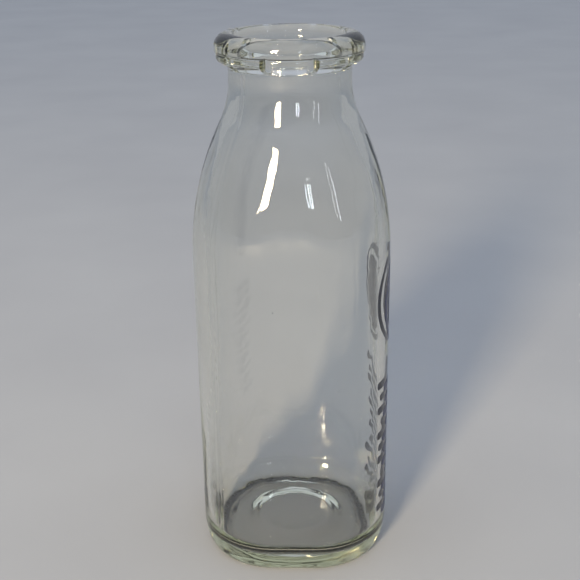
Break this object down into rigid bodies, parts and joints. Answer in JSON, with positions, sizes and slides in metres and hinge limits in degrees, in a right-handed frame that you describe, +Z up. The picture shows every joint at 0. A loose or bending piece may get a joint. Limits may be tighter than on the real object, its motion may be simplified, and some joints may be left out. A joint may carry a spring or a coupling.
{
  "type": "milk bottle",
  "caption": "Tall clear glass milk bottle with a square body, round corners, a round neck and a thick bead lip over a notched ring, with a plain fired enamel print.",
  "frame": {"origin": "middle of the bearing ring that the bottle stands on", "axes": "+Z up along the bottle's axis, +X out of the printed panel"},
  "size_m": [0.0683, 0.0682, 0.1874],
  "materials": {
    "glass": "clear, fire polished, with a faint green tint where it is thick",
    "enamel": "dark blue fired ceramic enamel, satin"
  },
  "bodies": {
    "root": {"lip_bead": "glass", "neck_ring": "glass", "neck": "glass", "shoulder": "glass", "body_wall": "glass", "heel": "glass", "base_plate": "glass", "base_mark": "glass", "mould_seams": "glass", "print_border": "enamel", "print_badge": "enamel", "print_bars": "enamel"}
  },
  "joints": []
}
